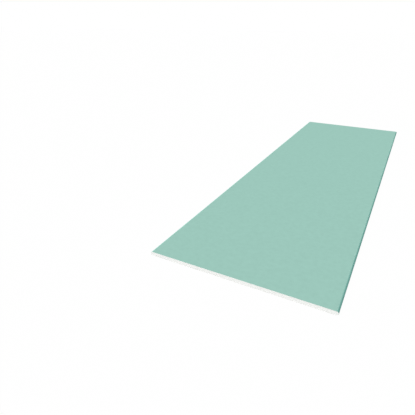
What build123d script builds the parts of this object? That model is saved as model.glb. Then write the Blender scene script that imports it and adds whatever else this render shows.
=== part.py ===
from build123d import *
import os

# A moisture-resistant drywall sheet, lying on its back with its face up.
# The origin is the middle of the back, on the plane that the sheet rests on.
# X runs across the sheet, Y along it and Z through it, and lengths are millimetres.

# The sheet
sheet_length = 2000.0
sheet_width = 600.0
sheet_thickness = 12.5

# The paper liners
face_paper_thickness = 0.35
back_paper_thickness = 0.30

# The rounded long edges: a short upright wall, with a rounding into the face above it and one into
# the back below it. The lower rounding is given for the core, under the paper.
edge_wall_height = 1.5
core_lower_radius = 4.15

# The back: the face paper is folded under the core, and the back paper laps over the folds
folded_paper_width = 25.0
lap_width = 12.0

# Sizes that follow from those above
wrapped_height = sheet_thickness - back_paper_thickness
lower_radius = core_lower_radius + face_paper_thickness
upper_radius = wrapped_height - edge_wall_height - lower_radius
bare_core_width = sheet_width - 2 * folded_paper_width
back_paper_width = bare_core_width + 2 * lap_width

# The far cut end. A section drawn on it faces the near cut end, and runs there when extruded.
far_end = Plane.XZ.offset(-sheet_length / 2)


# The section that the face paper encloses, with the paper in it: flat on top and below, and rounded
# at all four corners. It stands on the glued side of the back paper.
with BuildSketch(far_end) as wrapped_section:
    with Locations((0, back_paper_thickness)):
        Rectangle(sheet_width, wrapped_height, align=(Align.CENTER, Align.MIN))
    fillet(wrapped_section.vertices().group_by(Axis.Y)[-1], radius=upper_radius)
    fillet(wrapped_section.vertices().group_by(Axis.Y)[0], radius=lower_radius)

# The section of the plaster: one paper thickness inside the wrapped section, but full down to
# the back paper between the two folds.
with BuildSketch(far_end) as core_section:
    offset(wrapped_section.sketch_local, amount=-face_paper_thickness)
    with Locations((0, back_paper_thickness)):
        Rectangle(bare_core_width, wrapped_height / 2, align=(Align.CENTER, Align.MIN))


# Gypsum core, cast between the papers and cut square at both short ends
with BuildPart() as gypsum_core:
    with BuildSketch(far_end):
        add(core_section.sketch_local)
    extrude(amount=sheet_length)

# Face paper: the face, both long edges and both folds under the back, in one piece
with BuildPart() as face_paper:
    with BuildSketch(far_end):
        add(wrapped_section.sketch_local)
        add(core_section.sketch_local, mode=Mode.SUBTRACT)
    extrude(amount=sheet_length)

# Back paper: a flat liner, glued to the core and lapped over both folds of the face paper
with BuildPart() as back_paper:
    Box(
        back_paper_width,
        sheet_length,
        back_paper_thickness,
        align=(Align.CENTER, Align.CENTER, Align.MIN),
    )


gypsum_core.part.label = "gypsum_core"
face_paper.part.label = "face_paper"
back_paper.part.label = "back_paper"

os.makedirs("parts", exist_ok=True)
for piece in (gypsum_core, face_paper, back_paper):
    export_step(piece.part, f"parts/{piece.part.label}.step")
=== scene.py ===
"""The looks of a moisture-resistant drywall sheet that lies on its back, face up.

The sheet is three pieces: the green face paper, which wraps the face and both long edges, the white
gypsum core, which shows at both cut ends, and the plain back paper. Lengths are metres. X runs across
the sheet, Y along it and Z through it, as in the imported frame.
"""

import logging
import math
from collections.abc import Callable
from dataclasses import dataclass, field
from enum import Enum

import bmesh
import bpy
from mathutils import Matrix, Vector

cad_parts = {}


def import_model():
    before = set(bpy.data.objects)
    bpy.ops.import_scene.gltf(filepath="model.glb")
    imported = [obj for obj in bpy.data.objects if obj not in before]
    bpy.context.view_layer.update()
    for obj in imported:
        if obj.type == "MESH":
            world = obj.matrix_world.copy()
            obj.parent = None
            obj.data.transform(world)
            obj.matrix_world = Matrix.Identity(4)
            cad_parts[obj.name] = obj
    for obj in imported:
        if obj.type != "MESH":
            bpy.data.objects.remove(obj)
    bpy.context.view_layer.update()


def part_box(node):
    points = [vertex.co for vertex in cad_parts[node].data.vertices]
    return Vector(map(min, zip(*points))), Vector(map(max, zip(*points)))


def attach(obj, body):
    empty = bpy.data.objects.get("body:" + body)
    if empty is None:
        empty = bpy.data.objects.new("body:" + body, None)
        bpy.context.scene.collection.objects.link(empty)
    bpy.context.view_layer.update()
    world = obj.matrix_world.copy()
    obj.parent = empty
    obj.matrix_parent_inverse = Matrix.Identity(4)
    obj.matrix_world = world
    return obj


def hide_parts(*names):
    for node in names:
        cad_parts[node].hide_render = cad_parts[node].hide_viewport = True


LOG = logging.getLogger("drywall_sheet")
BODY = "root"

# Places that are closer together than this, in metres, are one place.
NEARLY = 1e-6
# A face looks along an axis where its normal has this much of it.
FACING = 0.999
# Columns that one subdivision makes, well under the 100 cuts that it can make at most.
COLUMNS_AT_ONCE = 50
# The bevel profile that is part of a circle.
ROUND = 0.5
# The side of a surface that its thickness goes to.
INWARDS = -1.0
# The turn, in degrees, from straight down to level.
QUARTER_TURN = 90.0
# The gloss of paper and gypsum, which have none.
MATT = 0.0

Colour = tuple[float, float, float]
Part = bmesh.types.BMVert | bmesh.types.BMEdge | bmesh.types.BMFace
Piece = bpy.types.Object
Node = bpy.types.Node
Socket = bpy.types.NodeSocket
Value = Socket | float | Colour

WHITE: Colour = (1.0, 1.0, 1.0)


class Axis(Enum):
    """The frame's axes: X across the sheet, Y along it and Z through it."""

    X = 0
    Y = 1
    Z = 2


class Element(Enum):
    """The kinds of mesh element that a selection can be made of."""

    CORNERS = "VERT"
    EDGES = "EDGE"
    FACES = "FACE"


class End(Enum):
    """The two cut ends, by the sign of their place along the sheet."""

    NEAR = -1
    FAR = 1


class Side(Enum):
    """The two long edges, by the sign of their place across the sheet."""

    LEFT = -1
    RIGHT = 1


@dataclass(frozen=True)
class Span:
    """The room that a piece takes up.

    Attributes:
        low: Its lowest corner.
        high: Its highest corner.
    """

    low: Vector
    high: Vector

    @classmethod
    def of_node(cls, node: str) -> "Span":
        """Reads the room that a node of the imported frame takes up."""
        return cls(*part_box(node))

    @property
    def size(self) -> Vector:
        """The span's size along each axis."""
        return self.high - self.low

    @property
    def centre(self) -> Vector:
        """The span's middle."""
        return (self.low + self.high) / 2


class Bench:
    """Holds one piece in edit mode, and picks what the next operator works on."""

    def __init__(self, piece: Piece) -> None:
        """Takes the piece to shape."""
        self.piece = piece

    def __enter__(self) -> "Bench":
        """Puts the piece in edit mode.

        Returns:
            The bench.
        """
        bpy.context.view_layer.objects.active = self.piece
        bpy.ops.object.mode_set(mode="EDIT")
        return self

    def __exit__(self, *details: object) -> None:
        """Leaves edit mode."""
        bpy.ops.object.mode_set(mode="OBJECT")

    def pick(self, kind: Element, wanted: Callable[[Part], bool]) -> None:
        """Selects the elements of one kind that pass a test, and nothing else.

        Args:
            kind: The kind of element to select.
            wanted: Says whether an element is to be selected.
        """
        bpy.ops.mesh.select_mode(type=kind.value)
        bpy.ops.mesh.select_all(action="DESELECT")
        cage = bmesh.from_edit_mesh(self.piece.data)
        parts = {Element.CORNERS: cage.verts, Element.EDGES: cage.edges, Element.FACES: cage.faces}
        for part in parts[kind]:
            if wanted(part):
                part.select_set(True)
        bmesh.update_edit_mesh(self.piece.data)

    def cut_picked(self, axis: Axis, place: float) -> None:
        """Cuts what is selected at a plane square to one axis.

        Args:
            axis: The axis.
            place: Where the plane stands along it.
        """
        normal = Vector((0.0, 0.0, 0.0))
        normal[axis.value] = 1.0
        bpy.ops.mesh.bisect(plane_co=normal * place, plane_no=normal, threshold=NEARLY)

    def add_end_rows(self, half_length: float, depths: tuple[float, ...]) -> None:
        """Cuts the whole piece across, next to both cut ends.

        Args:
            half_length: Distance from the middle of the sheet to a cut end.
            depths: Places of the cuts, measured from the cut end.
        """
        for end in End:
            for depth in depths:
                bpy.ops.mesh.select_all(action="SELECT")
                self.cut_picked(Axis.Y, end.value * (half_length - depth))

    def divide_runs(self, axis: Axis, length: float, column: float) -> None:
        """Divides the edges of one length along one axis, and the faces between them, into even columns.

        Args:
            axis: The axis.
            length: The edges' length.
            column: About how wide a column is.
        """
        coarse = max(1, round(length / column / COLUMNS_AT_ONCE))
        fine = round(length / coarse / column)
        for share, pieces in ((1, coarse), (coarse, fine)):
            self.pick(
                Element.EDGES,
                lambda edge: lies_along(edge, axis) and abs(edge.calc_length() - length / share) < NEARLY,
            )
            if pieces > 1:
                bpy.ops.mesh.subdivide(number_cuts=pieces - 1)

    def name_ends(self, half_length: float) -> None:
        """Puts the corners of each cut end, at half the sheet's length, in a vertex group of its own."""
        for end in End:
            self.name_group(end.name, lambda corner: corner.co.y * end.value > half_length - NEARLY)

    def name_group(self, name: str, wanted: Callable[[Part], bool]) -> None:
        """Puts the corners that pass a test in a new vertex group.

        Args:
            name: Name of the group.
            wanted: Says whether a corner belongs to it.
        """
        self.pick(Element.CORNERS, wanted)
        self.piece.vertex_groups.active = self.piece.vertex_groups.new(name=name)
        bpy.ops.object.vertex_group_assign()

    def face_outwards(self) -> None:
        """Turns every face of the closed piece outwards."""
        bpy.ops.mesh.select_all(action="SELECT")
        bpy.ops.mesh.normals_make_consistent(inside=False)


def place_mesh(name: str, scale: Vector | None = None) -> Piece:
    """Names and scales the primitive just added, and moves its place, turn and size into its mesh.

    Args:
        name: The piece's name.
        scale: The primitive's scale along its own axes, or None to leave its size.

    Returns:
        The piece.
    """
    piece = bpy.context.active_object
    piece.name = name
    piece.data.name = name
    if scale is not None:
        piece.scale = scale
    bpy.ops.object.transform_apply(location=True, rotation=True, scale=True)
    return piece


def solid_block(name: str, span: Span) -> Piece:
    """Adds a block that fills a span.

    Args:
        name: The piece's name.
        span: The room to fill.

    Returns:
        The block, with its origin at the frame's.
    """
    bpy.ops.object.select_all(action="DESELECT")
    bpy.ops.mesh.primitive_cube_add(size=1.0, location=span.centre)
    return place_mesh(name, span.size)


def apply_modifier(piece: Piece, modifier: bpy.types.Modifier) -> None:
    """Applies one of a piece's modifiers to its mesh."""
    bpy.context.view_layer.objects.active = piece
    bpy.ops.object.modifier_apply(modifier=modifier.name)


def lies_along(edge: bmesh.types.BMEdge, axis: Axis) -> bool:
    """Says whether an edge runs along one axis."""
    run = edge.verts[1].co - edge.verts[0].co
    return all(abs(run[other.value]) < NEARLY for other in Axis if other is not axis)


class Grain(Enum):
    """The grains that displace a cut face or a cut edge of paper."""

    CRUMBLE = "CLOUDS"
    BUBBLES = "VORONOI"


@dataclass(frozen=True)
class Relief:
    """A grain that is worn into both cut ends of a piece, along the sheet.

    Attributes:
        grain: The kind of grain.
        feature: Size of its features, in metres.
        depth: How deep it goes, in metres.
        rim: Radius of a bubble, as a share of its cell.
    """

    grain: Grain
    feature: float
    depth: float
    rim: float = 0.42

    def wear_into(self, piece: Piece) -> None:
        """Displaces both cut ends towards the middle of the sheet, and applies it.

        Args:
            piece: The piece, with a vertex group for each cut end.
        """
        texture = self.texture(piece.name)
        for end in End:
            modifier = piece.modifiers.new("relief", "DISPLACE")
            modifier.texture = texture
            modifier.texture_coords = "LOCAL"
            modifier.direction = Axis.Y.name
            modifier.mid_level = 0.0
            modifier.strength = -end.value * self.depth
            modifier.vertex_group = end.name
            apply_modifier(piece, modifier)

    def texture(self, name: str) -> bpy.types.Texture:
        """Makes the grain's texture.

        Args:
            name: The texture's name.

        Returns:
            The texture, whose value is how deep the grain goes.
        """
        texture = bpy.data.textures.new(name, type=self.grain.value)
        texture.noise_scale = self.feature
        if self.grain is Grain.BUBBLES:
            self.hollow_out(texture)
        return texture

    def hollow_out(self, texture: bpy.types.Texture) -> None:
        """Makes a cell texture deep at the middle of each cell and flat beyond the bubble's rim.

        Args:
            texture: The cell texture.
        """
        texture.use_color_ramp = True
        texture.color_ramp.interpolation = "EASE"
        middle, rim = texture.color_ramp.elements
        middle.position = 0.0
        middle.color = (1.0, 1.0, 1.0, 1.0)
        rim.position = self.rim
        rim.color = (0.0, 0.0, 0.0, 1.0)


class Board:
    """A node tree, with short calls that add nodes and feed their sockets."""

    def __init__(self, tree: bpy.types.NodeTree) -> None:
        """Takes the node tree to build in."""
        self.tree = tree

    def feed(self, value: Value, socket: Socket) -> None:
        """Wires a socket to another, or sets a plain number or colour on it.

        Args:
            value: A socket, a number or a colour.
            socket: The socket that takes it.
        """
        if isinstance(value, Socket):
            self.tree.links.new(value, socket)
        elif isinstance(value, tuple):
            socket.default_value = (*value, 1.0)
        else:
            socket.default_value = value

    def add(self, kind: str, given: dict[str, Value] | None = None, **settings: object) -> Node:
        """Adds a node.

        Args:
            kind: The node's type, without its ShaderNode or Node prefix.
            given: What its sockets take, by their names.
            **settings: Values for the node's own settings.

        Returns:
            The node.
        """
        prefix = "" if kind.startswith("NodeGroup") else "ShaderNode"
        node = self.tree.nodes.new(prefix + kind)
        for setting, value in settings.items():
            setattr(node, setting, value)
        for name, value in (given or {}).items():
            self.feed(value, node.inputs[name])
        return node

    def maths(self, operation: str, *values: Value) -> Socket:
        """Adds a Math node.

        Args:
            operation: The Math node's operation.
            *values: What it works on, in the order of its sockets.

        Returns:
            The result's socket.
        """
        node = self.add("Math", operation=operation)
        for value, socket in zip(values, node.inputs):
            self.feed(value, socket)
        return node.outputs["Value"]

    def blend(self, share: Value, first: Value, second: Value) -> Socket:
        """Mixes two colours.

        Args:
            share: How much of the second colour.
            first: The first colour.
            second: The second colour.

        Returns:
            The mixed colour's socket.
        """
        node = self.add("Mix", {"Factor": share, "A": first, "B": second}, data_type="RGBA")
        return node.outputs["Result"]

    def noise(self, place: Socket, scale: float, detail: float, roughness: float = 0.6) -> Socket:
        """Adds a noise pattern.

        Args:
            place: The place on the piece.
            scale: How many features a metre holds.
            detail: How many finer octaves it has.
            roughness: How strong each octave is, as a share of the one before it.

        Returns:
            The socket of its value, 0.5 on average.
        """
        given = {"Vector": place, "Scale": scale, "Detail": detail, "Roughness": roughness}
        return self.add("TexNoise", given).outputs["Fac"]

    def cells(self, place: Socket, scale: float) -> tuple[Socket, bpy.types.bpy_prop_collection]:
        """Adds a pattern of cells.

        Args:
            place: The place on the piece.
            scale: How many cells a metre holds.

        Returns:
            The socket of the distance from a cell's middle, and the sockets of the cell's random
            numbers, by the names Red, Green and Blue.
        """
        pattern = self.add("TexVoronoi", {"Vector": place, "Scale": scale})
        chance = self.add("SeparateColor", {"Color": pattern.outputs["Color"]})
        return pattern.outputs["Distance"], chance.outputs

    def ramp(self, value: Value, start: float, stop: float) -> Socket:
        """Turns a range of values smoothly into 0 to 1.

        Args:
            value: The value.
            start: The value that gives 0.
            stop: The value that gives 1.

        Returns:
            The result's socket.
        """
        given = {"Value": value, "From Min": start, "From Max": stop}
        return self.add("MapRange", given, interpolation_type="SMOOTHSTEP").outputs["Result"]


@dataclass(frozen=True)
class PaperFibres:
    """The node group that gives every paper of the sheet its fibres, strands, clouds and flecks.

    The strands are single curled fibres. They follow the contours of a noise, a step of its value apart,
    and a second noise cuts them into pieces.

    Attributes:
        name: The group's name.
        draw: Scale of the fibres and flecks along each axis, which draws them out along the sheet.
        fibre_scale: How many fibres a metre holds.
        cloud_scale: How many clouds a metre holds.
        octaves: How many finer octaves fibres and clouds have.
        middle: Their value on average.
        curl_scale: How many curls of the strands a metre holds.
        curl_octaves: How many finer octaves the curls have.
        strand_step: Half the change in the noise's value from one strand to the next.
        strand_width: Half the change in it across a strand.
        strand_height: How high a strand stands, as a share of the paper's tooth.
        piece_scale: How many pieces of strand a metre holds.
        piece_start: The second noise's value where a piece starts to show.
        piece_full: Its value where the piece shows in full.
        fleck_scale: How many cells a metre holds, each with one fleck or none.
        fleck_least: Radius of the smallest fleck, as a share of its cell.
        fleck_spread: How much larger the largest fleck is.
        fleck_rim: Width of a fleck's soft rim.
    """

    name: str = "paper_fibres"
    draw: tuple[float, float, float] = (1.0, 0.3, 1.0)
    fibre_scale: float = 1400.0
    cloud_scale: float = 60.0
    octaves: float = 4.0
    middle: float = 0.5
    curl_scale: float = 330.0
    curl_octaves: float = 2.0
    strand_step: float = 0.06
    strand_width: float = 0.010
    strand_height: float = 0.5
    piece_scale: float = 700.0
    piece_start: float = 0.52
    piece_full: float = 0.60
    fleck_scale: float = 900.0
    fleck_least: float = 0.04
    fleck_spread: float = 0.18
    fleck_rim: float = 0.06

    def tree(self) -> bpy.types.NodeTree:
        """Builds the group once.

        Returns:
            The group's node tree.
        """
        if self.name in bpy.data.node_groups:
            return bpy.data.node_groups[self.name]
        tree = bpy.data.node_groups.new(self.name, "ShaderNodeTree")
        for name, way, kind in (
            ("Place", "INPUT", "NodeSocketVector"),
            ("Colour", "INPUT", "NodeSocketColor"),
            ("Fleck Colour", "INPUT", "NodeSocketColor"),
            ("Cloudiness", "INPUT", "NodeSocketFloat"),
            ("Grain", "INPUT", "NodeSocketFloat"),
            ("Strands", "INPUT", "NodeSocketFloat"),
            ("Fleck Share", "INPUT", "NodeSocketFloat"),
            ("Colour", "OUTPUT", "NodeSocketColor"),
            ("Height", "OUTPUT", "NodeSocketFloat"),
        ):
            tree.interface.new_socket(name=name, in_out=way, socket_type=kind)
        self.fill(Board(tree))
        return tree

    def fill(self, board: Board) -> None:
        """Wires the group.

        Args:
            board: The group's board.
        """
        given = board.add("NodeGroupInput").outputs
        made = board.add("NodeGroupOutput").inputs
        mapping = board.add("Mapping", {"Vector": given["Place"]})
        mapping.inputs["Scale"].default_value = self.draw
        drawn_out = mapping.outputs["Vector"]
        fibres = board.noise(drawn_out, self.fibre_scale, self.octaves)
        clouds = board.noise(given["Place"], self.cloud_scale, self.octaves)
        strands = self.strands(board, given["Place"])
        value = 1.0
        for pattern, middle, amount in (
            (clouds, self.middle, given["Cloudiness"]),
            (fibres, self.middle, given["Grain"]),
            (strands, 0.0, given["Strands"]),
        ):
            value = board.maths("MULTIPLY_ADD", board.maths("SUBTRACT", pattern, middle), amount, value)
        shade = board.add("HueSaturation", {"Color": given["Colour"], "Value": value})
        fleck = self.flecks(board, drawn_out, given["Fleck Share"])
        board.feed(board.blend(fleck, shade.outputs["Color"], given["Fleck Colour"]), made["Colour"])
        board.feed(board.maths("MULTIPLY_ADD", strands, self.strand_height, fibres), made["Height"])

    def strands(self, board: Board, place: Socket) -> Socket:
        """Lays single curled fibres on the paper, each a few millimetres long.

        Args:
            board: The group's board.
            place: The place on the paper.

        Returns:
            The socket of the fibres' mask.
        """
        curls = board.noise(place, self.curl_scale, self.curl_octaves)
        line = board.ramp(board.maths("PINGPONG", curls, self.strand_step), self.strand_width, 0.0)
        piece = board.ramp(board.noise(place, self.piece_scale, 0.0), self.piece_start, self.piece_full)
        return board.maths("MULTIPLY", line, piece)

    def flecks(self, board: Board, place: Socket, share: Socket) -> Socket:
        """Scatters short flecks of recycled fibre, of all sizes.

        Args:
            board: The group's board.
            place: The drawn-out place on the paper.
            share: The share of cells that hold a fleck.

        Returns:
            The socket of the flecks' mask.
        """
        distance, chance = board.cells(place, self.fleck_scale)
        radius = board.maths("MULTIPLY_ADD", chance["Green"], self.fleck_spread, self.fleck_least)
        fleck = board.ramp(board.maths("SUBTRACT", radius, distance), 0.0, self.fleck_rim)
        return board.maths("MULTIPLY", fleck, board.maths("LESS_THAN", chance["Red"], share))


def new_material(name: str) -> tuple[bpy.types.Material, Board]:
    """Makes a material with a Principled shader and no other node wired.

    Args:
        name: The material's name.

    Returns:
        The material and its board.
    """
    material = bpy.data.materials.new(name)
    material.use_nodes = True
    return material, Board(material.node_tree)


def wire_matt(board: Board, colour: Socket, roughness: float, height: Socket, distance: float) -> None:
    """Makes a material's shader matt, with a colour and a relief that change over the surface.

    Args:
        board: The material's board.
        colour: The surface's colour.
        roughness: The shader's roughness.
        height: The relief's height, from 0 to 1.
        distance: How high 1 stands, in metres.
    """
    bump = board.add("Bump", {"Distance": distance, "Height": height})
    shader = board.tree.nodes["Principled BSDF"]
    for name, value in (
        ("Base Color", colour),
        ("Roughness", roughness),
        ("Specular IOR Level", MATT),
        ("Normal", bump.outputs["Normal"]),
    ):
        board.feed(value, shader.inputs[name])


@dataclass(frozen=True)
class BendShadeTint:
    """Painted shade tint where a paper is bent over the long edges: a bluer green that stands in for the
    tint of their shade.

    Attributes:
        colour: The painted shade tint of the paper on the bends, linear.
        fleck: The painted shade tint of its flecks there, linear.
        start: Distance from the middle of the sheet where the change starts, in metres.
        stop: Distance from the middle where the change is complete, in metres.
    """

    colour: Colour
    fleck: Colour
    start: float
    stop: float

    def mask(self, board: Board, place: Socket) -> Socket:
        """Tells the bends, which get the painted shade tint, from the flat paper.

        Args:
            board: The material's board.
            place: The place on the piece.

        Returns:
            A socket that is 0 on the flat paper and 1 on the bends.
        """
        across = board.add("SeparateXYZ", {"Vector": place}).outputs["X"]
        out = board.maths("ABSOLUTE", across)
        return board.ramp(out, self.start, self.stop)


@dataclass(frozen=True)
class PaperFinish:
    """The look of one paper, or of its cut edge.

    Attributes:
        name: The material's name.
        colour: The paper's own colour, linear.
        fleck: The colour of its flecks, linear.
        cloudiness: How much its colour drifts over a few centimetres.
        grain: How much its fibres show.
        strands: How much lighter its single curled fibres are.
        fleck_share: The share of cells that hold a fleck.
        tooth: How high its fibres stand, in metres.
        roughness: The shader's roughness.
        bend_shade_tint: The painted shade tint over the long edges, or None.
    """

    name: str
    colour: Colour
    fleck: Colour
    cloudiness: float
    grain: float
    strands: float
    fleck_share: float
    tooth: float
    roughness: float
    bend_shade_tint: BendShadeTint | None = None

    def material(self) -> bpy.types.Material:
        """Builds the material.

        Returns:
            The material.
        """
        material, board = new_material(self.name)
        place = board.add("TexCoord").outputs["Object"]
        colour, fleck = self.colour, self.fleck
        # Painted shade tint: the bends get a bluer green that stands in for the tint of their shade.
        if self.bend_shade_tint is not None:
            shade_tint_share = self.bend_shade_tint.mask(board, place)
            colour = board.blend(shade_tint_share, colour, self.bend_shade_tint.colour)
            fleck = board.blend(shade_tint_share, fleck, self.bend_shade_tint.fleck)
        given = {
            "Place": place,
            "Colour": colour,
            "Fleck Colour": fleck,
            "Cloudiness": self.cloudiness,
            "Grain": self.grain,
            "Strands": self.strands,
            "Fleck Share": self.fleck_share,
        }
        fibres = board.add("Group", given, node_tree=PaperFibres().tree()).outputs
        wire_matt(board, fibres["Colour"], self.roughness, fibres["Height"], self.tooth)
        return material


@dataclass(frozen=True)
class GypsumFinish:
    """The look of cut foamed gypsum.

    Attributes:
        name: The material's name.
        colour: The gypsum's colour, linear.
        pore_shade_colour: Painted shade inside the pores, darkest at their middle, linear.
        pores: Sizes of the cells that hold a pore each, in metres.
        pore_least: Radius of the smallest pore, as a share of its cell. Under 0 the cell has none.
        pore_spread: How much larger the largest pore is.
        pore_slope: Width of the slope from a pore's rim to its bottom, as a share of its cell.
        depth: How deep the pores are, in metres.
        powder: How high the powder stands between them, as a share of that depth.
        powder_scale: How many heaps of powder a metre holds.
        powder_octaves: How many finer octaves they have.
        roughness: The shader's roughness.
    """

    name: str = "cut_gypsum"
    colour: Colour = (0.87, 0.88, 0.86)
    pore_shade_colour: Colour = (0.66, 0.67, 0.65)
    pores: tuple[float, ...] = (0.0013, 0.0007, 0.00035)
    pore_least: float = -0.38
    pore_spread: float = 0.80
    pore_slope: float = 0.35
    depth: float = 0.00014
    powder: float = 0.4
    powder_scale: float = 2600.0
    powder_octaves: float = 3.0
    roughness: float = 0.95

    def material(self) -> bpy.types.Material:
        """Builds the material.

        Returns:
            The material.
        """
        material, board = new_material(self.name)
        place = board.add("TexCoord").outputs["Object"]
        hollow = 0.0
        for size in self.pores:
            hollow = board.maths("MAXIMUM", self.open_pores(board, place, size), hollow)
        heaps = board.noise(place, self.powder_scale, self.powder_octaves)
        powder = board.maths("MULTIPLY", heaps, self.powder)
        # Painted shade: the pores darken towards their middle, where they are deepest.
        colour = board.blend(hollow, self.colour, self.pore_shade_colour)
        height = board.maths("SUBTRACT", powder, hollow)
        wire_matt(board, colour, self.roughness, height, self.depth)
        return material

    def open_pores(self, board: Board, place: Socket, size: float) -> Socket:
        """Scatters round pores of all sizes, like bowls, over about half of the cells.

        Args:
            board: The material's board.
            place: The place on the piece.
            size: Size of the cells.

        Returns:
            The socket of the pores' depth, from 0 to 1.
        """
        distance, chance = board.cells(place, 1.0 / size)
        radius = board.maths("MULTIPLY_ADD", chance["Green"], self.pore_spread, self.pore_least)
        return board.ramp(board.maths("SUBTRACT", radius, distance), 0.0, self.pore_slope)


@dataclass
class FacePaper:
    """The green paper: the face, both long edges and both folds under the core, in one piece.

    Attributes:
        span: The room that the wrapped sheet takes up.
        thickness: The paper's thickness.
        upper_radius: Radius of the rounding from the face into a long edge.
        lower_radius: Radius of the rounding from a long edge into a fold.
        fold_width: Width of each fold under the core, from the long edge.
        round_steps: Facets of each rounding.
        column: Width of the columns that the face and the folds are divided into.
        row_depths: Places of the rows next to a cut end, measured from it.
        crease: The turn, in degrees, from which an edge is shaded sharp.
        fray: How the paper frays where it is cut.
        face: The paper's look outside.
        glued: Its look on the glued side.
        cut: Its look where it is cut.
    """

    span: Span
    thickness: float
    upper_radius: float = 0.0062
    lower_radius: float = 0.0045
    fold_width: float = 0.0250
    round_steps: int = 24
    column: float = 0.0010
    row_depths: tuple[float, ...] = (0.0004, 0.0015, 0.0060)
    crease: float = 30.0
    fray: Relief = Relief(Grain.CRUMBLE, feature=0.0012, depth=0.00030)
    face: PaperFinish = PaperFinish(
        name="green_face_paper",
        colour=(0.337, 0.578, 0.503),
        fleck=(0.42, 0.64, 0.57),
        cloudiness=0.14,
        grain=0.16,
        strands=0.08,
        fleck_share=0.20,
        tooth=0.00005,
        roughness=0.75,
        # Painted shade tint on both long edges: a bluer green in place of the face's green.
        bend_shade_tint=BendShadeTint(colour=(0.250, 0.590, 0.515), fleck=(0.30, 0.65, 0.575), start=0.2935, stop=0.2975),
    )
    glued: PaperFinish = PaperFinish(
        name="glued_side_of_face_paper",
        colour=(0.62, 0.63, 0.58),
        fleck=(0.45, 0.47, 0.42),
        cloudiness=0.05,
        grain=0.15,
        strands=0.05,
        fleck_share=0.10,
        tooth=0.00004,
        roughness=0.95,
    )
    cut: PaperFinish = PaperFinish(
        name="cut_edge_of_face_paper",
        colour=(0.64, 0.71, 0.67),
        fleck=(0.68, 0.72, 0.68),
        cloudiness=0.05,
        grain=0.30,
        strands=0.05,
        fleck_share=0.20,
        tooth=0.00005,
        roughness=0.95,
    )

    def build(self) -> Piece:
        """Models the paper and dresses it.

        Returns:
            The piece.
        """
        piece = solid_block("face_paper_wrap", self.span)
        with Bench(piece) as bench:
            self.round_over(bench)
            self.open_up(bench)
            self.divide(bench)
        self.thicken(piece)
        with Bench(piece) as bench:
            bench.name_ends(self.span.high.y)
        self.fray.wear_into(piece)
        bpy.ops.object.shade_smooth_by_angle(angle=math.radians(self.crease))
        return piece

    def round_over(self, bench: Bench) -> None:
        """Rounds the block's four long edges.

        Args:
            bench: The bench that holds the block.
        """
        for level, radius in (
            (self.span.high.z, self.upper_radius),
            (self.span.low.z, self.lower_radius),
        ):
            bench.pick(
                Element.EDGES,
                lambda edge: lies_along(edge, Axis.Y) and abs(edge.verts[0].co.z - level) < NEARLY,
            )
            bpy.ops.mesh.bevel(offset=radius, segments=self.round_steps, profile=ROUND, affect="EDGES")

    def open_up(self, bench: Bench) -> None:
        """Takes away the block's ends and what lies between the folds, which leaves the paper's outside.

        Args:
            bench: The bench that holds the rounded block.
        """
        fold = self.span.high.x - self.fold_width
        for place in (-fold, fold):
            bench.pick(Element.FACES, lambda face: face.normal.z < -FACING)
            bench.cut_picked(Axis.X, place)
        bench.pick(
            Element.FACES,
            lambda face: abs(face.normal.y) > FACING
            or (face.normal.z < -FACING and abs(face.calc_center_median().x) < fold),
        )
        bpy.ops.mesh.delete(type="FACE")

    def divide(self, bench: Bench) -> None:
        """Divides the flat stretches into columns, and adds the rows next to the cut ends.

        Args:
            bench: The bench that holds the paper's outside.
        """
        bench.divide_runs(Axis.X, self.span.size.x - 2 * self.upper_radius, self.column)
        bench.divide_runs(Axis.X, self.fold_width - self.lower_radius, self.column)
        bench.add_end_rows(self.span.high.y, self.row_depths)

    def thicken(self, piece: Piece) -> None:
        """Gives the paper its thickness, and its finishes outside, on the glued side and where it is cut.

        Args:
            piece: The paper's outside.
        """
        finishes = (self.face, self.glued, self.cut)
        for finish in finishes:
            piece.data.materials.append(finish.material())
        modifier = piece.modifiers.new("paper", "SOLIDIFY")
        modifier.thickness = self.thickness
        modifier.offset = INWARDS
        modifier.use_even_offset = True
        modifier.material_offset = finishes.index(self.glued)
        modifier.material_offset_rim = finishes.index(self.cut)
        apply_modifier(piece, modifier)


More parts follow.
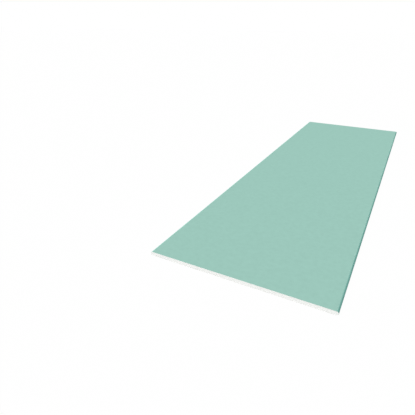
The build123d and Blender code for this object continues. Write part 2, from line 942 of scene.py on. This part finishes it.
@dataclass
class GypsumCore:
    """The plaster between the papers, with both cut ends as real surfaces.

    Attributes:
        span: The room that the core takes up.
        face_paper: The paper round it, whose bends it follows.
        cell: Width of the cells of the cut ends.
        crease: The turn, in degrees, from which an edge is shaded sharp.
        crumble: The uneven cut.
        bubbles: The air bubbles that the cut opened.
        finish: The gypsum's look.
    """

    span: Span
    face_paper: FacePaper
    cell: float = 0.0005
    crease: float = 40.0
    crumble: Relief = Relief(Grain.CRUMBLE, feature=0.0030, depth=0.00015)
    bubbles: Relief = Relief(Grain.BUBBLES, feature=0.0017, depth=0.00022)
    finish: GypsumFinish = GypsumFinish()

    @property
    def upper_radius(self) -> float:
        """Radius of the upper rounding under the paper."""
        return self.face_paper.upper_radius - self.face_paper.thickness

    @property
    def lower_radius(self) -> float:
        """Radius of the lower rounding under the paper."""
        return self.face_paper.lower_radius - self.face_paper.thickness

    @property
    def shelf(self) -> float:
        """Height of the core's underside over the folds."""
        return self.span.low.z + self.face_paper.thickness

    @property
    def flat_half(self) -> float:
        """Distance from the middle to where the upper rounding starts."""
        return self.span.high.x - self.upper_radius

    def build(self) -> Piece:
        """Models the core and dresses it.

        Returns:
            The piece.
        """
        piece = self.cut_face()
        with Bench(piece) as bench:
            for side in Side:
                self.follow_the_rounding(bench, side)
            self.run_along()
            self.fill_between_folds(bench)
            bench.face_outwards()
            bench.name_ends(self.span.high.y)
        self.crumble.wear_into(piece)
        self.bubbles.wear_into(piece)
        bpy.ops.object.shade_smooth_by_angle(angle=math.radians(self.crease))
        piece.data.materials.append(self.finish.material())
        return piece

    def cut_face(self) -> Piece:
        """Adds the flat middle of the near cut face as an upright grid.

        Returns:
            The grid.
        """
        height = self.span.high.z - self.shelf
        bpy.ops.object.select_all(action="DESELECT")
        bpy.ops.mesh.primitive_grid_add(
            x_subdivisions=round(2 * self.flat_half / self.cell),
            y_subdivisions=round(height / self.cell),
            size=1.0,
            location=(0.0, self.span.low.y, self.shelf + height / 2),
            rotation=(math.radians(QUARTER_TURN), 0.0, 0.0),
        )
        return place_mesh("gypsum_core_cast", Vector((2 * self.flat_half, height, 1.0)))

    def drop_at(self, out: float, radius: float) -> float:
        """Gives how far a rounding has left the flat at a distance from the middle of the sheet."""
        past = max(0.0, out - self.span.high.x + radius)
        return radius - math.sqrt(max(0.0, radius**2 - past**2))

    def limits_at(self, out: float) -> tuple[float, float]:
        """Gives the heights of the section's bottom and top at a distance from the middle."""
        low = self.shelf + self.drop_at(out, self.lower_radius)
        return low, self.span.high.z - self.drop_at(out, self.upper_radius)

    def follow_the_rounding(self, bench: Bench, side: Side) -> None:
        """Extrudes one side of the cut face column by column, each as high as the section is there.

        Args:
            bench: The bench that holds the cut face.
            side: The long edge to work towards.
        """
        steps = self.face_paper.round_steps
        reach = self.flat_half
        bench.pick(
            Element.EDGES,
            lambda edge: all(corner.co.x * side.value > reach - NEARLY for corner in edge.verts),
        )
        for step in range(1, steps + 1):
            turn = math.radians(QUARTER_TURN) * step / steps
            out = self.flat_half + self.upper_radius * math.sin(turn)
            low, high = self.limits_at(reach)
            new_low, new_high = self.limits_at(out)
            bpy.ops.mesh.extrude_edges_move(
                TRANSFORM_OT_translate={"value": ((out - reach) * side.value, 0.0, new_low - low)}
            )
            bpy.ops.transform.resize(
                value=(1.0, 1.0, (new_high - new_low) / (high - low)),
                center_override=(0.0, 0.0, new_low),
            )
            reach = out

    def run_along(self) -> None:
        """Extrudes the near cut face to the far end."""
        bpy.ops.mesh.select_all(action="SELECT")
        bpy.ops.mesh.extrude_region_move(TRANSFORM_OT_translate={"value": (0.0, self.span.size.y, 0.0)})

    def fill_between_folds(self, bench: Bench) -> None:
        """Extrudes the underside down to the back paper, between the folds.

        Args:
            bench: The bench that holds the core.
        """
        bare = self.span.high.x + self.face_paper.thickness - self.face_paper.fold_width
        bench.pick(
            Element.FACES,
            lambda face: all(
                corner.co.z < self.shelf + NEARLY and abs(corner.co.x) < bare for corner in face.verts
            ),
        )
        bpy.ops.mesh.extrude_region_move(
            TRANSFORM_OT_translate={"value": (0.0, 0.0, self.span.low.z - self.shelf)}
        )


@dataclass
class BackPaper:
    """The plain paper on the back, which laps over both folds of the face paper.

    Attributes:
        span: The room that the paper takes up.
        column: Width of the columns that it is divided into at the cut ends.
        row_depths: Places of the rows next to a cut end, measured from it.
        crease: The turn, in degrees, from which an edge is shaded sharp.
        fray: How the paper frays where it is cut.
        sheet: The paper's look.
    """

    span: Span
    column: float = 0.0010
    row_depths: tuple[float, ...] = (0.0004, 0.0015, 0.0060)
    crease: float = 30.0
    fray: Relief = Relief(Grain.CRUMBLE, feature=0.0012, depth=0.00010)
    sheet: PaperFinish = PaperFinish(
        name="grey_back_paper",
        colour=(0.47, 0.44, 0.38),
        fleck=(0.24, 0.21, 0.17),
        cloudiness=0.16,
        grain=0.34,
        strands=0.25,
        fleck_share=0.45,
        tooth=0.00006,
        roughness=0.9,
    )

    def build(self) -> Piece:
        """Models the paper and dresses it.

        Returns:
            The piece.
        """
        piece = solid_block("back_paper_liner", self.span)
        with Bench(piece) as bench:
            bench.divide_runs(Axis.X, self.span.size.x, self.column)
            bench.add_end_rows(self.span.high.y, self.row_depths)
            bench.name_ends(self.span.high.y)
        self.fray.wear_into(piece)
        piece.data.materials.append(self.sheet.material())
        bpy.ops.object.shade_smooth_by_angle(angle=math.radians(self.crease))
        return piece


@dataclass(frozen=True)
class Studio:
    """A pale floor and soft, even light.

    Attributes:
        floor_size: Side of the floor, in metres.
        floor_drop: How far the floor lies under the sheet, in metres.
        floor_colour: The floor's colour, linear.
        white_share: How much of what the camera sees of the floor is plain white.
        sky: Strength of the even light from all round.
        key: Strength of the key light.
        key_place: Where the key light hangs. A sun lamp's light doesn't depend on it.
        key_height: The key light's height above the horizon, in degrees.
        key_turn: The key light's turn from the near end towards the left, in degrees.
        key_angle: The key light's width, in degrees.
    """

    floor_size: float = 60.0
    floor_drop: float = 0.0001
    floor_colour: Colour = (0.80, 0.80, 0.80)
    white_share: float = 0.985
    sky: float = 0.42
    key: float = 2.89
    key_place: tuple[float, float, float] = (-2.0, -3.0, 3.0)
    key_height: float = 39.0
    key_turn: float = 57.0
    key_angle: float = 40.0

    def build(self) -> None:
        """Builds the floor, the sky and the key light."""
        self.lay_floor()
        self.light_sky()
        self.hang_key()

    def seen_directly(self, board: Board) -> Socket:
        """Tells rays that show the background from rays that light the sheet.

        Args:
            board: The board of the floor's material or of the world.

        Returns:
            A socket that is 1 for camera, glossy and transmission rays.
        """
        path = board.add("LightPath").outputs
        seen = board.maths("MAXIMUM", path["Is Camera Ray"], path["Is Glossy Ray"])
        return board.maths("MAXIMUM", seen, path["Is Transmission Ray"])

    def lay_floor(self) -> None:
        """Lays the floor, whose shadow of the sheet stays faintly visible on white."""
        bpy.ops.object.select_all(action="DESELECT")
        bpy.ops.mesh.primitive_plane_add(size=self.floor_size, location=(0.0, 0.0, -self.floor_drop))
        floor = place_mesh("studio_floor")
        material, board = new_material("studio_floor")
        board.tree.nodes.clear()
        share = board.maths("MULTIPLY", self.seen_directly(board), self.white_share)
        lit = board.add("BsdfDiffuse", {"Color": self.floor_colour}).outputs["BSDF"]
        white = board.add("Emission", {"Color": WHITE}).outputs["Emission"]
        mix = board.add("MixShader")
        for value, socket in zip((share, lit, white), mix.inputs):
            board.feed(value, socket)
        board.add("OutputMaterial", {"Surface": mix.outputs["Shader"]})
        floor.data.materials.append(material)

    def light_sky(self) -> None:
        """Lights the sheet evenly from all round, against white."""
        world = bpy.data.worlds.new("studio_sky")
        bpy.context.scene.world = world
        world.use_nodes = True
        board = Board(world.node_tree)
        board.tree.nodes.clear()
        given = {"Value": self.seen_directly(board), "To Min": self.sky, "To Max": 1.0}
        strength = board.add("MapRange", given).outputs["Result"]
        sky = board.add("Background", {"Color": WHITE, "Strength": strength})
        board.add("OutputWorld", {"Surface": sky.outputs["Background"]})

    def hang_key(self) -> None:
        """Hangs the wide key light, in front of the near end and to the left."""
        bpy.ops.object.light_add(type="SUN", location=self.key_place)
        key = bpy.context.active_object
        key.name = "studio_key"
        key.data.energy = self.key
        key.data.angle = math.radians(self.key_angle)
        tilt = math.radians(QUARTER_TURN - self.key_height)
        key.rotation_euler = (tilt, 0.0, math.radians(-self.key_turn))


@dataclass(frozen=True)
class PhotoCamera:
    """The camera at the photograph's viewing angle, fitted to the outline and shading of the sheet's edges.

    Attributes:
        frame_pixels: Side of the square photograph.
        focal_pixels: Focal length, in the photograph's pixels.
        place: The camera's place in the frame, in metres.
        turn: Its turn to the left of the sheet's long axis, in degrees.
        dip: Its dip below the horizon, in degrees.
    """

    frame_pixels: float = 415.0
    focal_pixels: float = 371.96
    place: tuple[float, float, float] = (0.3513, -1.8150, 0.6887)
    turn: float = 28.374
    dip: float = 26.633

    def build(self) -> None:
        """Sets the camera up and makes it the scene's."""
        tilt = math.radians(QUARTER_TURN - self.dip)
        bpy.ops.object.camera_add(location=self.place, rotation=(tilt, 0.0, math.radians(self.turn)))
        camera = bpy.context.active_object
        camera.name = "photo_camera"
        camera.data.lens = self.focal_pixels / self.frame_pixels * camera.data.sensor_width
        bpy.context.scene.camera = camera


@dataclass
class DrywallSheet:
    """The whole sheet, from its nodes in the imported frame.

    Attributes:
        face_span: Room of the face paper.
        core_span: Room of the core.
        back_span: Room of the back paper.
    """

    face_span: Span = field(default_factory=lambda: Span.of_node("face_paper"))
    core_span: Span = field(default_factory=lambda: Span.of_node("gypsum_core"))
    back_span: Span = field(default_factory=lambda: Span.of_node("back_paper"))

    def build(self) -> None:
        """Builds the three pieces, and puts each in its node's place."""
        face_paper = FacePaper(self.face_span, self.face_span.high.z - self.core_span.high.z)
        self.stand_for(face_paper.build(), "face_paper", "face_paper")
        core = GypsumCore(self.core_span, face_paper)
        self.stand_for(core.build(), "gypsum_core", "gypsum")
        self.stand_for(BackPaper(self.back_span).build(), "back_paper", "back_paper")

    @staticmethod
    def stand_for(piece: Piece, node: str, slot: str) -> None:
        """Lets a piece ride on the sheet's body in place of a node.

        Args:
            piece: The finished piece.
            node: The node that it stands for.
            slot: Not used.
        """
        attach(piece, BODY)
        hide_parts(node)
        LOG.info("%s: %d corners, %d faces", piece.name, len(piece.data.vertices), len(piece.data.polygons))


def main() -> None:
    """Builds the sheet, its studio and its camera, in that order."""
    logging.basicConfig(level=logging.INFO, format="%(message)s")
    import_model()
    bpy.context.scene.view_settings.view_transform = "Standard"
    DrywallSheet().build()
    Studio().build()
    PhotoCamera().build()


if __name__ == "__main__":
    main()
